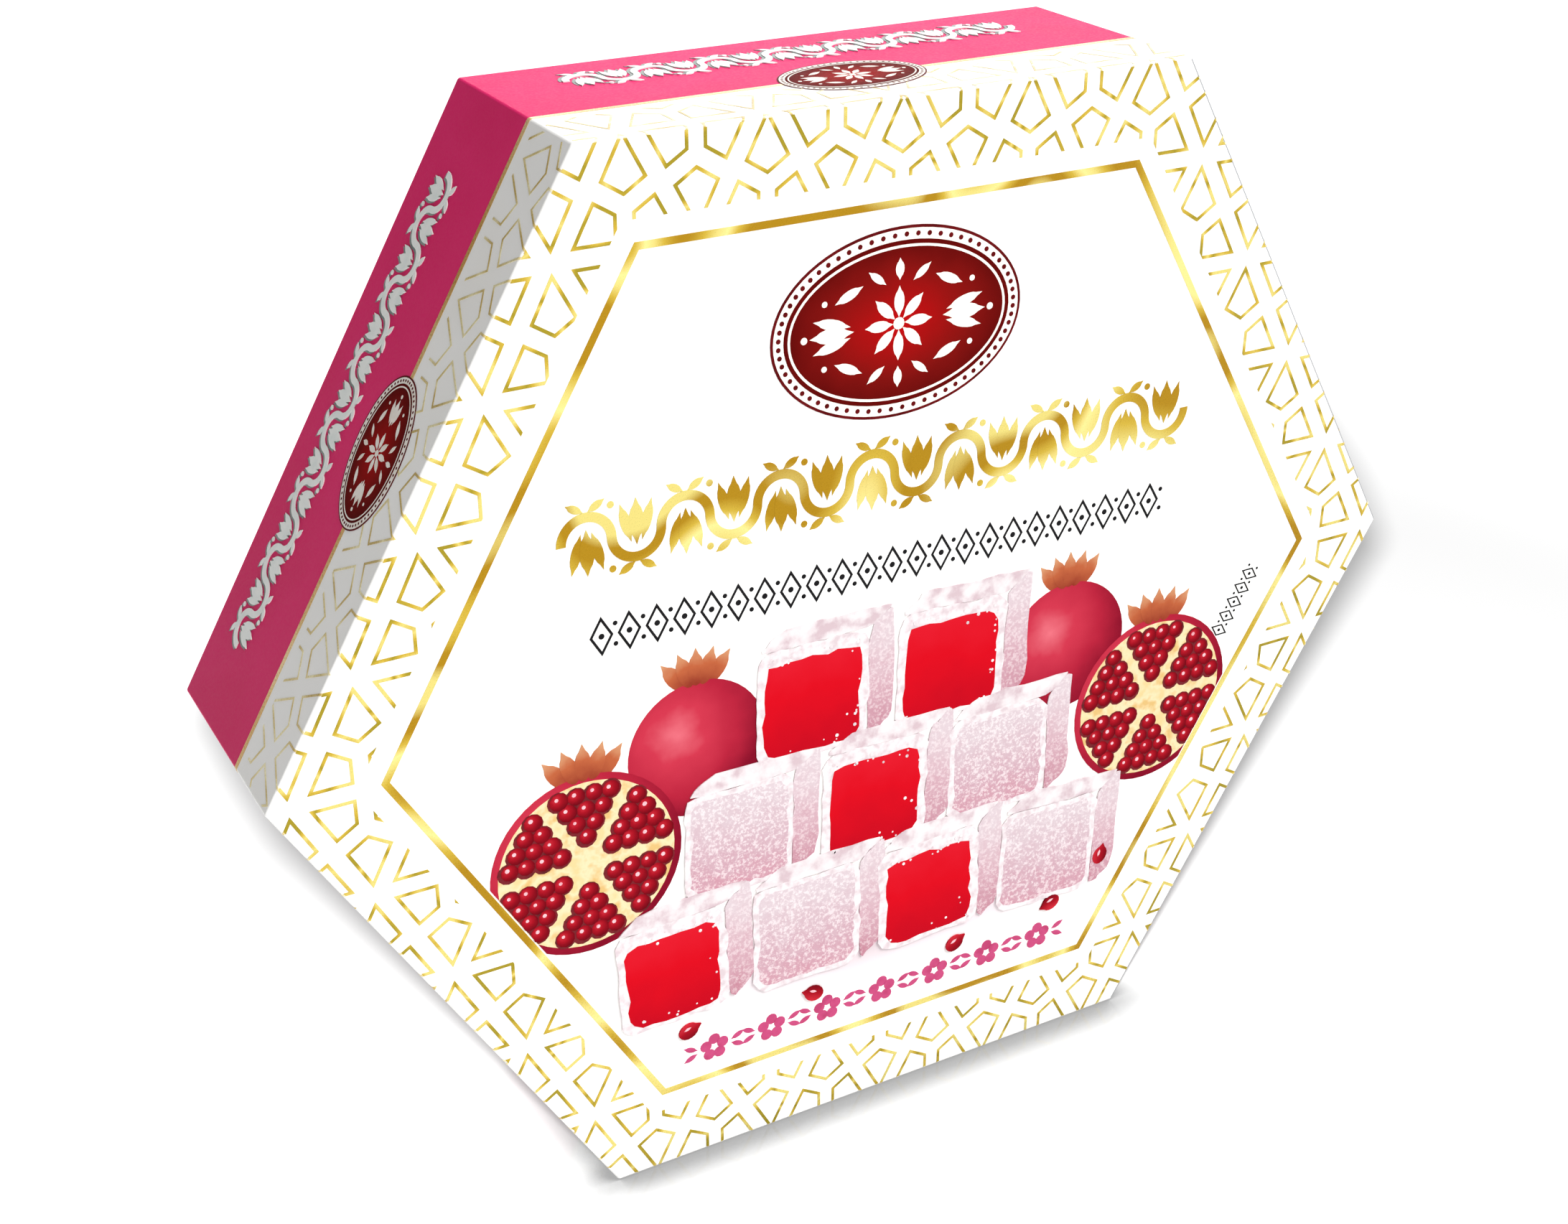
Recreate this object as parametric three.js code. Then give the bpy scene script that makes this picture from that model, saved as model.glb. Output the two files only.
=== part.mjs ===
// A shut hexagonal carton of confectionery, standing upright on one of its six side panels.
// The two hexagonal panels face the front (-Y) and the back (+Y). The origin is the middle
// of the panel that it stands on, +X runs along that panel and +Z is up. Millimetres.

import * as THREE from 'three';

// Driving dimensions
const SIDE = 90; // length of one side of the hexagon
const DEPTH = 36; // from the front panel to the back panel
const CORNER_RADIUS = 0.5; // outside of the folds between neighbouring side panels
const RIM_RADIUS = 0.3; // outside of the folds round the front and back panels

// How finely the folds are rounded
const CORNER_STEPS = 3;
const RIM_STEPS = 4;

// Worked out from those
const SIDES = 6;
const HALF_TURN_OF_CORNER = Math.PI / SIDES; // a corner's fold turns through twice this
const APOTHEM = SIDE * Math.cos(HALF_TURN_OF_CORNER); // from the middle to a side panel

const BOARD_COLOUR = 0xfbf8f2;
const BOARD_ROUGHNESS = 0.42;

// The carton's outline seen from the front: a regular hexagon with a corner at the far
// left and the far right, and a small arc at each fold.
function hexagonOutline() {
  const outline = new THREE.Shape();
  const arcCentre = SIDE - CORNER_RADIUS / Math.cos(HALF_TURN_OF_CORNER);
  for (let corner = 0; corner < SIDES; corner += 1) {
    const angle = (corner * 2 * Math.PI) / SIDES;
    outline.absarc(
      arcCentre * Math.cos(angle),
      arcCentre * Math.sin(angle),
      CORNER_RADIUS,
      angle - HALF_TURN_OF_CORNER,
      angle + HALF_TURN_OF_CORNER,
      false,
    );
  }
  return outline;
}

// The whole shut carton as one solid: the outline carried from back to front, with the
// rims of both hexagonal panels rounded inwards from it.
function cartonGeometry() {
  const straightDepth = DEPTH - 2 * RIM_RADIUS;
  const geometry = new THREE.ExtrudeGeometry(hexagonOutline(), {
    depth: straightDepth,
    steps: 1,
    curveSegments: CORNER_STEPS,
    bevelEnabled: true,
    bevelThickness: RIM_RADIUS,
    bevelSize: RIM_RADIUS,
    bevelOffset: -RIM_RADIUS,
    bevelSegments: RIM_STEPS,
  });
  geometry.translate(0, 0, -straightDepth / 2);
  geometry.rotateX(Math.PI / 2);
  return geometry;
}

function makeCarton() {
  const board = new THREE.MeshStandardMaterial({
    name: 'printed_board',
    color: BOARD_COLOUR,
    roughness: BOARD_ROUGHNESS,
    metalness: 0,
  });
  const carton = new THREE.Mesh(cartonGeometry(), board);
  carton.name = 'carton';
  carton.position.z = APOTHEM;
  return carton;
}

const pack = new THREE.Group();
pack.name = 'hexagonal_confectionery_carton';
pack.add(makeCarton());

export default pack;
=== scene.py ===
import math
import random

import bpy
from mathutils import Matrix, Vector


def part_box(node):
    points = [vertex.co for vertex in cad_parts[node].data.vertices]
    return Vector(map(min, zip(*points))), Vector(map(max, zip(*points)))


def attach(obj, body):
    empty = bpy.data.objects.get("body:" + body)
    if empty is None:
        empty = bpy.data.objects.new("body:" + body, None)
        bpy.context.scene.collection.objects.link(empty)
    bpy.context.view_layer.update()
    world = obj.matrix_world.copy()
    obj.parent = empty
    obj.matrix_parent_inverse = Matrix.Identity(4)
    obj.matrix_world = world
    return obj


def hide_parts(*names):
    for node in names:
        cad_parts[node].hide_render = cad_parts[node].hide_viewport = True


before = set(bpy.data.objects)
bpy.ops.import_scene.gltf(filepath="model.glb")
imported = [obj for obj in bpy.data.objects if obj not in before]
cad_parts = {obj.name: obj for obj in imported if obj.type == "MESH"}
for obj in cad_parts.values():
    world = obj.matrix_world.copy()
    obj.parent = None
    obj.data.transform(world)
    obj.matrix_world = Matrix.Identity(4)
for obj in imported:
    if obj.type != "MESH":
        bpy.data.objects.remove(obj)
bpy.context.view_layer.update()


# ---- Printed board ---------------------------------------------------------------------
# The carton is a deep hexagonal lid of white-lined board, printed and varnished: the front
# panel and six side panels in one sheet, folded back and glued. A pink tray of the same
# board closes it from behind, pushed in until it lies just inside the lid's cut edge.

MM = 0.001
SIDES = 6
HALF_CORNER = math.pi / SIDES
low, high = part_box("carton")
DEPTH = high.y - low.y
APOTHEM = (high.z - low.z) / 2
SIDE = APOTHEM / math.cos(HALF_CORNER)
CORNER_RADIUS = 0.5 * MM
RIM_RADIUS = 0.3 * MM
FOLD_STEPS = 4
WHITE_BAND = 12.6 * MM
BOARD_THICKNESS = CORNER_RADIUS
TRAY_GAP = 0.25 * MM
GAP_DEPTH = 1.2 * MM
TRAY_RECESS = 0.4 * MM
TRAY_FOLD_RADIUS = 0.3 * MM
CUT_EDGE_RADIUS = 0.1 * MM
TRAY_PRINT_TURNS_IN = 0.4 * MM
SAME_PLACE = 0.1 * MM
HAIR = 0.01 * MM
LAP = 0.006 * MM
STRAIGHT_OUT = 0.99
TURNED_FORWARD = 0.1
UPRIGHT = 0.2
FOLD_SHADE_FROM = 0.51
FAINT_FOLD_SHADE = 0.12
FIBRES_RUN = (0.35, 0.65)
FIBRE_STRENGTH = 0.35
SOFT_FOLD = math.radians(30)


def take(piece):
    """Selects one piece, alone, and makes it the active one."""
    bpy.ops.object.select_all(action="DESELECT")
    piece.select_set(True)
    bpy.context.view_layer.objects.active = piece


def edit(piece):
    """Opens one piece, alone, in edit mode with nothing of it selected."""
    take(piece)
    bpy.ops.object.mode_set(mode="EDIT")
    bpy.ops.mesh.select_all(action="DESELECT")


def pick(piece, kind, wanted):
    """Opens a piece in edit mode with only the faces, edges or corners that are wanted selected."""
    edit(piece)
    bpy.ops.mesh.select_mode(type=kind)
    bpy.ops.object.mode_set(mode="OBJECT")
    mesh = piece.data
    for item in {"FACE": mesh.polygons, "EDGE": mesh.edges, "VERT": mesh.vertices}[kind]:
        item.select = wanted(item)
    bpy.ops.object.mode_set(mode="EDIT")


def pick_all(piece):
    """Opens a piece in edit mode with all of it selected."""
    edit(piece)
    bpy.ops.mesh.select_mode(type="VERT")
    bpy.ops.mesh.select_all(action="SELECT")


def done():
    """Leaves edit mode."""
    bpy.ops.object.mode_set(mode="OBJECT")


def settle(piece):
    """Works a piece's place, turn and size into its mesh."""
    take(piece)
    bpy.ops.object.transform_apply(location=True, rotation=True, scale=True)


def flat_disc(name, corners, radius, turn=0.0, at=(0.0, 0.0), stretch=(1.0, 1.0), lift=0):
    """A flat face on the drawing sheet: a polygon, disc or oval, face up. Where shapes lap over
    each other, lift says how many laps higher than the sheet this one lies."""
    bpy.ops.object.select_all(action="DESELECT")
    bpy.ops.mesh.primitive_circle_add(
        vertices=corners, radius=radius, fill_type="NGON", location=(*at, lift * LAP),
        rotation=(0, 0, turn),
    )
    disc = bpy.context.object
    disc.name = name
    disc.scale = (*stretch, 1)
    settle(disc)
    return disc


def flat_hexagon(name, radius, corner_radius=0.0):
    """A hexagon with corners at left and right, each of them rounded where a radius is given."""
    hexagon = flat_disc(name, SIDES, radius, turn=HALF_CORNER)
    if corner_radius:
        pick_all(hexagon)
        cut_back = corner_radius * math.tan(HALF_CORNER)
        bpy.ops.mesh.bevel(affect="VERTICES", offset=cut_back, segments=FOLD_STEPS)
        done()
    return hexagon


def stand_up(piece):
    """Lifts a piece drawn flat round the middle of the front panel to its place on the carton."""
    piece.rotation_euler = (math.pi / 2, 0, 0)
    piece.location = (0, low.y, APOTHEM)
    settle(piece)


def new_finish(name):
    """A new material, with its nodes, its links and its shader."""
    finish = bpy.data.materials.new(name)
    finish.use_nodes = True
    nodes = finish.node_tree.nodes
    return finish, nodes, finish.node_tree.links, nodes["Principled BSDF"]


def colour(red, green, blue):
    """A printer's colour of 0 to 255 as the shader's light values."""
    values = [c / 255 for c in (red, green, blue)]
    return (*[c / 12.92 if c <= 0.04045 else ((c + 0.055) / 1.055) ** 2.4 for c in values], 1)


def shades(nodes, links, source, colours, start=0.36, end=0.64):
    """Spreads colours evenly over the middle of a pattern's range and returns what they give."""
    ramp = nodes.new("ShaderNodeValToRGB")
    stops = ramp.color_ramp.elements
    while len(stops) < len(colours):
        stops.new(0.5)
    for i, tone in enumerate(colours):
        stops[i].position = start + (end - start) * i / max(1, len(colours) - 1)
        stops[i].color = colour(*tone)
    links.new(source, ramp.inputs["Fac"])
    return ramp.outputs["Color"]


def clouds(nodes, links, size, detail=3.0, rough=0.5):
    """A soft pattern whose patches are about the given size, fixed in the carton's own space."""
    place = nodes.new("ShaderNodeTexCoord")
    noise = nodes.new("ShaderNodeTexNoise")
    noise.inputs["Scale"].default_value = 1 / size
    noise.inputs["Detail"].default_value = detail
    noise.inputs["Roughness"].default_value = rough
    links.new(place.outputs["Object"], noise.inputs["Vector"])
    return noise.outputs["Fac"]


def from_to(nodes, links, value, from_range, to_range):
    """A node that runs a value from one range to another."""
    run = nodes.new("ShaderNodeMapRange")
    run.inputs["From Min"].default_value, run.inputs["From Max"].default_value = from_range
    run.inputs["To Min"].default_value, run.inputs["To Max"].default_value = to_range
    links.new(value, run.inputs["Value"])
    return run


def add_tooth(nodes, links, shader, roughness, spread=0.06, grain=0.35 * MM, height=0.012 * MM):
    """Gives a finish the board's fine tooth: gloss that varies a little, over shallow fibres."""
    fibres = clouds(nodes, links, grain, detail=2.0)
    gloss = from_to(nodes, links, fibres, FIBRES_RUN, (roughness - spread, roughness + spread))
    links.new(gloss.outputs["Result"], shader.inputs["Roughness"])
    bump = nodes.new("ShaderNodeBump")
    bump.inputs["Strength"].default_value = FIBRE_STRENGTH
    bump.inputs["Distance"].default_value = height
    links.new(fibres, bump.inputs["Height"])
    links.new(bump.outputs["Normal"], shader.inputs["Normal"])


def printed(name, colours, patch, roughness=0.42, gloss=0.14, detail=3.0):
    """A varnished print in colours that drift into each other in patches of the given size."""
    ink, nodes, links, shader = new_finish(name)
    shader.inputs["Specular IOR Level"].default_value = gloss
    drift = clouds(nodes, links, patch, detail)
    links.new(shades(nodes, links, drift, colours), shader.inputs["Base Color"])
    add_tooth(nodes, links, shader, roughness)
    return ink


def round_outline(z, radius, steps):
    """Rounds the edges of the board that lie flat at height z."""
    mesh = board.data
    pick(board, "EDGE", lambda edge: all(abs(mesh.vertices[v].co.z - z) < HAIR for v in edge.vertices))
    bpy.ops.mesh.bevel(affect="EDGES", offset=radius, segments=steps)
    done()


def lay_over(ink, amount, tone):
    """Lays one more colour over a print, by an amount that varies over it from 0 to 1."""
    nodes, links = ink.node_tree.nodes, ink.node_tree.links
    base = nodes["Principled BSDF"].inputs["Base Color"]
    mix = nodes.new("ShaderNodeMix")
    mix.data_type = "RGBA"
    links.new(amount, mix.inputs["Factor"])
    links.new(base.links[0].from_socket, mix.inputs["A"])
    mix.inputs["B"].default_value = colour(*tone)
    links.new(mix.outputs["Result"], base)


def inset_past_folds(piece, wanted, thickness):
    """Insets a hexagonal face just as far as its rounded corners reach, so that each ends sharp."""
    pick(piece, "FACE", wanted)
    bpy.ops.mesh.inset(thickness=thickness, depth=0)
    bpy.ops.mesh.remove_doubles(threshold=SAME_PLACE)
    done()


board = flat_hexagon("board", SIDE, CORNER_RADIUS)
pick_all(board)
bpy.ops.mesh.extrude_region_move(TRANSFORM_OT_translate={"value": (0, 0, -DEPTH)})
bpy.ops.mesh.select_all(action="SELECT")
bpy.ops.mesh.normals_make_consistent(inside=False)
bpy.ops.mesh.bisect(plane_co=(0, 0, -WHITE_BAND), plane_no=(0, 0, 1))
done()

round_outline(0, RIM_RADIUS, FOLD_STEPS)
round_outline(-DEPTH, CUT_EDGE_RADIUS, 2)
inset_past_folds(board, lambda face: face.normal.z > STRAIGHT_OUT, CORNER_RADIUS - RIM_RADIUS)

# The back: the lid's cut edge, the gap inside it, and the tray's panel.
inset_past_folds(board, lambda face: face.normal.z < -STRAIGHT_OUT, CORNER_RADIUS - CUT_EDGE_RADIUS)
pick(board, "FACE", lambda face: face.normal.z < -STRAIGHT_OUT and face.area > APOTHEM ** 2)
bpy.ops.mesh.extrude_region_move(TRANSFORM_OT_translate={"value": (0, 0, GAP_DEPTH)})
bpy.ops.mesh.inset(thickness=TRAY_GAP, depth=0)
bpy.ops.mesh.extrude_region_move(TRANSFORM_OT_translate={"value": (0, 0, TRAY_RECESS - GAP_DEPTH)})
done()
round_outline(TRAY_RECESS - DEPTH, TRAY_FOLD_RADIUS, 3)


def apply_modifier(piece, modifier):
    """Makes a modifier's result the piece's own mesh."""
    take(piece)
    bpy.ops.object.modifier_apply(modifier=modifier.name)


def shade_evenly(piece):
    """Rounds the shading of small bevels and keeps the large faces flat."""
    take(piece)
    bpy.ops.object.shade_smooth_by_angle(angle=SOFT_FOLD)
    weights = piece.modifiers.new("weights", "WEIGHTED_NORMAL")
    weights.keep_sharp = True
    apply_modifier(piece, weights)


white = printed("white_print", [(250, 249, 245), (252, 251, 248), (250, 248, 243)], 30 * MM)
# Painted shade: the white print turns grey along the front folds, by the amount noted on each fold face.
fold_shade_amount = white.node_tree.nodes.new("ShaderNodeAttribute")
fold_shade_amount.attribute_name = "fold_shade"
lay_over(white, fold_shade_amount.outputs["Fac"], (150, 151, 154))
pink = printed("pink_print", [(228, 38, 107), (231, 41, 111), (226, 37, 105)], 26 * MM, 0.5, 0.07)
raw = printed("raw_board", [(206, 198, 184), (224, 218, 206), (190, 180, 164)], 0.8 * MM, 0.85, 0.2)
for material in (white, pink, raw):
    board.data.materials.append(material)

# White in front of the join, bare board on the cut edge and down in the gap, and pink elsewhere.
# The front folds are greyed by painted shade, faintly all round and fully on the right, which outlines
# the panel.
fold_shades = board.data.attributes.new("fold_shade", "FLOAT", "FACE")
for face in board.data.polygons:
    depth = -face.center.z
    radius = math.hypot(face.center.x, face.center.y)
    on_side_panel = abs(face.normal.z) < UPRIGHT and radius > APOTHEM - BOARD_THICKNESS / 2
    on_cut_edge = depth > DEPTH - TRAY_RECESS / 2
    in_gap = depth < DEPTH - TRAY_RECESS - TRAY_PRINT_TURNS_IN
    if depth < WHITE_BAND:
        face.material_index = 0
    elif (on_cut_edge or in_gap) and not on_side_panel:
        face.material_index = 2
    else:
        face.material_index = 1
    if TURNED_FORWARD < face.normal.z < STRAIGHT_OUT:
        on_right_fold = face.center.x > FOLD_SHADE_FROM * radius
        fold_shades.data[face.index].value = 1.0 if on_right_fold else FAINT_FOLD_SHADE
stand_up(board)
shade_evenly(board)
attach(board, "root")
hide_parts("carton")


# ---- Gold lattice ----------------------------------------------------------------------
# A traditional strapwork of stars, stamped in gold foil round the front panel and on over
# the fold. Kite shapes stand round each star, and the bare straps run between them. On the six
# sides the line is thinner, and its gold is painted paler: painted light for the sides' shade and glare.

STAR_PITCH = 19.33 * MM
ROW_PITCH = 16.0 * MM
LATTICE_LINE = 0.47 * MM
SIDE_LATTICE_LINE = 0.3 * MM
UPRIGHT_KITE = [(0, 1.1), (3.2, 7.2), (0, 9.25), (-3.2, 7.2)]
SIDE_KITE = [(2.5, 1.1), (8.65, 1.1), (8.65, 4.8), (5.55, 6.75)]
LATTICE_START = 67.8 * MM
LATTICE_REACH = 10.1 * MM
STARS_ACROSS = 13
STAR_ROWS = 7
RIM_START = APOTHEM - RIM_RADIUS
RIM_BENDS = (15, 30, 30, 15)
RIM_CHORD = 2 * RIM_RADIUS * math.sin(math.radians(15))
RIM_LENGTH = 3 * RIM_CHORD
SAME_CORNER = 0.002 * MM
FOIL_THICKNESS = 0.06 * MM
FOIL_PROUD = 0.04 * MM
FOIL_GLOSS = 0.16
FOIL_ROUGHNESS = 0.3
OLIVE_GOLD = (152, 134, 30)
MID_GOLD = (192, 162, 52)
PALE_GOLD = (214, 198, 112)


def join(name, pieces):
    """Makes several pieces one."""
    bpy.ops.object.select_all(action="DESELECT")
    for piece in pieces:
        piece.select_set(True)
    bpy.context.view_layer.objects.active = pieces[0]
    if len(pieces) > 1:
        bpy.ops.object.join()
    pieces[0].name = name
    return pieces[0]


def copy_of(piece, at=(0.0, 0.0), turn=0.0):
    """A copy of a flat piece with a mesh of its own, moved and turned on the sheet."""
    twin = piece.copy()
    twin.data = piece.data.copy()
    bpy.context.collection.objects.link(twin)
    twin.location = (*at, 0)
    twin.rotation_euler = (0, 0, turn)
    settle(twin)
    return twin


def face_up(piece):
    """Turns over each flat face that looks down into the board."""
    pick(piece, "FACE", lambda face: face.normal.z < 0)
    bpy.ops.mesh.flip_normals()
    done()


def outline_only(piece, line):
    """Leaves a flat face's edge as a line of the given width and takes out its middle."""
    pick_all(piece)
    bpy.ops.mesh.select_mode(type="FACE")
    bpy.ops.mesh.inset(thickness=line, depth=0)
    bpy.ops.mesh.delete(type="FACE")
    done()


def repeat(piece, count, step):
    """Repeats a flat piece in a row."""
    array = piece.modifiers.new("repeat", "ARRAY")
    array.use_relative_offset = False
    array.use_constant_offset = True
    array.constant_offset_displace = (*step, 0)
    array.count = count
    apply_modifier(piece, array)


def cut_away(piece, point, direction):
    """Cuts a flat piece along a line through point and drops what lies on the side of direction."""
    pick_all(piece)
    bpy.ops.mesh.bisect(plane_co=(*point, 0), plane_no=(*direction, 0), clear_outer=True)
    done()


def score(piece, y):
    """Marks a fold across a flat piece."""
    pick_all(piece)
    bpy.ops.mesh.bisect(plane_co=(0, y, 0), plane_no=(0, 1, 0))
    done()


def give_thickness(piece, thickness, proud):
    """Makes flat work a solid layer that stands proud of the board and is keyed a little into it."""
    layer = piece.modifiers.new("thickness", "SOLIDIFY")
    layer.thickness = thickness
    layer.offset = 2 * proud / thickness - 1
    layer.use_even_offset = True
    apply_modifier(piece, layer)


def fold_over_rim(piece):
    """Folds flat work that runs past the top edge of the front panel back over the rim."""
    folds = [RIM_START + i * RIM_CHORD for i in range(len(RIM_BENDS))]
    for y in folds:
        score(piece, y)
    beyond = [{v.index for v in piece.data.vertices if v.co.y > y + SAME_CORNER / 2} for y in folds]
    hinge_y, hinge_z, slope = RIM_START, 0.0, 0.0
    for bend, past in zip(RIM_BENDS, beyond):
        pick(piece, "VERT", lambda corner: corner.index in past)
        hinge = (0, hinge_y, hinge_z)
        bpy.ops.transform.rotate(value=math.radians(bend), orient_axis="X", center_override=hinge)
        done()
        slope += math.radians(bend)
        hinge_y += RIM_CHORD * math.cos(slope)
        hinge_z -= RIM_CHORD * math.sin(slope)


def drawn(name, corners):
    """A flat shape with the given corners, in millimetres on the sheet, face up."""
    shape = flat_disc(name, len(corners), MM)
    for i, (x, y) in enumerate(corners):
        here = shape.data.vertices[i].co.copy()
        pick(shape, "VERT", lambda corner: corner.index == i)
        bpy.ops.transform.translate(value=(x * MM - here.x, y * MM - here.y, 0))
        done()
    face_up(shape)
    return shape


def kite(corners, flip_x, flip_y, line):
    """One kite of the lattice, drawn as a line."""
    shape = drawn("kite", [(flip_x * x, flip_y * y) for x, y in corners])
    outline_only(shape, line)
    return shape


def strapwork(line):
    """The whole field of stars, wider than the front panel, in lines of one width."""
    kites = [kite(UPRIGHT_KITE, 1, up, line) for up in (1, -1)]
    kites += [kite(SIDE_KITE, side, up, line) for side in (1, -1) for up in (1, -1)]
    star = join("star", kites)
    star.location = (-(STARS_ACROSS // 2) * STAR_PITCH, (2 - STAR_ROWS) * ROW_PITCH, 0)
    settle(star)
    repeat(star, STARS_ACROSS, (STAR_PITCH, 0))
    repeat(star, STAR_ROWS, (0, 2 * ROW_PITCH))
    return join("strapwork", [star, copy_of(star, at=(STAR_PITCH / 2, -ROW_PITCH))])


bold, fine = strapwork(LATTICE_LINE), strapwork(SIDE_LATTICE_LINE)
strips, side_strips = [], []
for k in range(SIDES):
    turn = k * 2 * HALF_CORNER
    on_front = copy_of(bold, turn=turn)
    cut_away(on_front, (0, LATTICE_START), (0, -1))
    cut_away(on_front, (0, RIM_START), (0, 1))
    over_rim = copy_of(fine, turn=turn)
    cut_away(over_rim, (0, RIM_START), (0, -1))
    cut_away(over_rim, (0, RIM_START + RIM_LENGTH + LATTICE_REACH), (0, 1))
    for side in (1, -1):
        cut_away(on_front, (0, 0), (side * math.cos(HALF_CORNER), -math.sin(HALF_CORNER)))
        cut_away(over_rim, (side * (SIDE / 2 - CORNER_RADIUS), 0), (side, 0))
    fold_over_rim(over_rim)
    for strip, place in ((on_front, strips), (over_rim, side_strips)):
        strip.rotation_euler = (0, 0, -turn)
        settle(strip)
        place.append(strip)
bpy.data.objects.remove(bold)
bpy.data.objects.remove(fine)
lattice = join("gold_lattice", strips)
side_lattice = join("side_lattice", side_strips)
for foil_work in (lattice, side_lattice):
    pick_all(foil_work)
    bpy.ops.mesh.remove_doubles(threshold=SAME_CORNER)
    done()
    give_thickness(foil_work, FOIL_THICKNESS, FOIL_PROUD)


def gold_foil(name, bar, tones, metal=0.25):
    """Stamped gold foil whose colour carries pale and dark bars, a painted reflection, that follow
    each other as the tones do, over about the length of bar."""
    foil, nodes, links, shader = new_finish(name)
    shader.inputs["Metallic"].default_value = metal
    shader.inputs["Specular IOR Level"].default_value = FOIL_GLOSS
    bars_of_light = clouds(nodes, links, bar, detail=0.0)
    links.new(shades(nodes, links, bars_of_light, tones, 0.3, 0.7), shader.inputs["Base Color"])
    add_tooth(nodes, links, shader, FOIL_ROUGHNESS, height=0.006 * MM)
    return foil


olive_to_pale = [OLIVE_GOLD, MID_GOLD, PALE_GOLD, MID_GOLD, OLIVE_GOLD, MID_GOLD, PALE_GOLD]
lattice.data.materials.append(gold_foil("lattice_gold", 5 * MM, olive_to_pale))
# Paler gold for the sides: painted light that lifts the lines in the shaded side and fades them in the
# glare on top.
painted_pale_gold = [(198, 172, 104), (222, 204, 146), (240, 230, 188), (222, 204, 146), (198, 172, 104)]
side_lattice.data.materials.append(gold_foil("painted_pale_gold", 5 * MM, painted_pale_gold, metal=0.1))
for foil_work in (lattice, side_lattice):
    stand_up(foil_work)
    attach(foil_work, "root")


# ---- Gold rules ------------------------------------------------------------------------
# Plain rules in the same foil: a hexagon that frames the picture on the front panel, one like
# it on the back, and a belt round the sides over the join of the white and the pink print.

FRAME_RADIUS = 75.0 * MM
FRAME_LINE = 1.0 * MM
BELT_FRONT = 12.2 * MM
BELT_LINE = 0.8 * MM
DARK_GOLD = (162, 122, 4)
BRIGHT_GOLD = (228, 214, 134)

bars = [DARK_GOLD, MID_GOLD, PALE_GOLD, BRIGHT_GOLD, MID_GOLD, DARK_GOLD, DARK_GOLD, PALE_GOLD]
rule_gold = gold_foil("rule_gold", 14 * MM, bars)
rule = flat_hexagon("gold_rule", FRAME_RADIUS)
outline_only(rule, FRAME_LINE)
give_thickness(rule, FOIL_THICKNESS, FOIL_PROUD)
rule.data.materials.append(rule_gold)
back_rule = copy_of(rule)
stand_up(rule)
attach(rule, "root")


def on_back(piece):
    """Puts a piece drawn round the middle of the sheet onto the tray's panel, facing back."""
    stand_up(piece)
    piece.rotation_euler = (0, 0, math.pi)
    piece.location = (0, -TRAY_RECESS, 0)
    settle(piece)


back_rule.name = "back_rule"
on_back(back_rule)
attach(back_rule, "root")

belt = flat_hexagon("gold_belt", SIDE, CORNER_RADIUS)
pick_all(belt)
bpy.ops.mesh.delete(type="ONLY_FACE")
bpy.ops.mesh.select_all(action="SELECT")
bpy.ops.transform.translate(value=(0, 0, -BELT_FRONT))
bpy.ops.mesh.extrude_edges_move(TRANSFORM_OT_translate={"value": (0, 0, -BELT_LINE)})
bpy.ops.mesh.select_all(action="SELECT")
bpy.ops.mesh.normals_make_consistent(inside=False)
done()
give_thickness(belt, FOIL_THICKNESS, FOIL_PROUD)
warm_bars = [(206, 160, 84), (222, 184, 116), (236, 206, 150), (222, 184, 116), (206, 160, 84)]
belt.data.materials.append(gold_foil("belt_gold", 14 * MM, warm_bars))
stand_up(belt)
shade_evenly(belt)
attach(belt, "root")


# ---- Medallions ------------------------------------------------------------------------
# Printed ovals in a deep red that glows towards the middle, with a beaded rim, pale rings and
# a flower between two tulips: one high on the front panel, one in the middle of the back, and
# a small one across the belt of each side.

MEDALLION_PLACE = (0.0, 48.3 * MM)
MEDALLION_SIZE = (19.1, 13.05)
SIDE_MEDALLION_PLACE = (0.0, -12.7 * MM)
SIDE_MEDALLION_SCALE = 0.545
OVAL_CORNERS = 72
BEADS = 64
BEAD_RADIUS = 0.36
BEADS_IN = 1.15
FIELD_IN = 1.9
PALE_RING_IN = 2.5
LEAF_OVAL = 0.74
TIP_FROM = 0.499
TIP_PULL = 0.13
LAYER_SUNK = 0.02 * MM
INK_GLOSS = 0.005
INK_ROUGHNESS = 0.42


def put(piece, at=(0.0, 0.0), turn=0.0, size=1.0, lift=0):
    """Moves, turns, sizes and lifts a flat piece on the sheet."""
    piece.location = (*at, lift * LAP)
    piece.rotation_euler = (0, 0, turn)
    piece.scale = (size, size, size)
    settle(piece)
    return piece


def leaf(length, width, at=(0.0, 0.0), turn=0.0, tips=(-1, 1), lift=0):
    """A leaf or petal in millimetres that lies along x: an oval with one end or both pulled out to
    a point."""
    shape = flat_disc("leaf", 16, MM / 2, stretch=(LEAF_OVAL * length, width))
    for tip in tips:
        pick(shape, "VERT", lambda corner: tip * corner.co.x > TIP_FROM * LEAF_OVAL * length * MM)
        bpy.ops.transform.translate(value=(tip * TIP_PULL * length * MM, 0, 0))
        done()
    return put(shape, at=(at[0] * MM, at[1] * MM), turn=math.radians(turn), lift=lift)


def dot(radius, at=(0.0, 0.0), corners=12, lift=0):
    """A round dot in millimetres."""
    return flat_disc("dot", corners, radius * MM, at=(at[0] * MM, at[1] * MM), lift=lift)


def tulip():
    """A tulip of three petals that hangs down from the middle of the sheet."""
    petals = [leaf(6.6, 2.1, at=(0, -1.5), turn=90, lift=2)]
    petals += [leaf(5.8, 1.5, at=(side * 1.5, -1.5), turn=90 + side * 15, lift=(side + 1) / 2)
               for side in (1, -1)]
    return join("tulip", petals)


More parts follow.
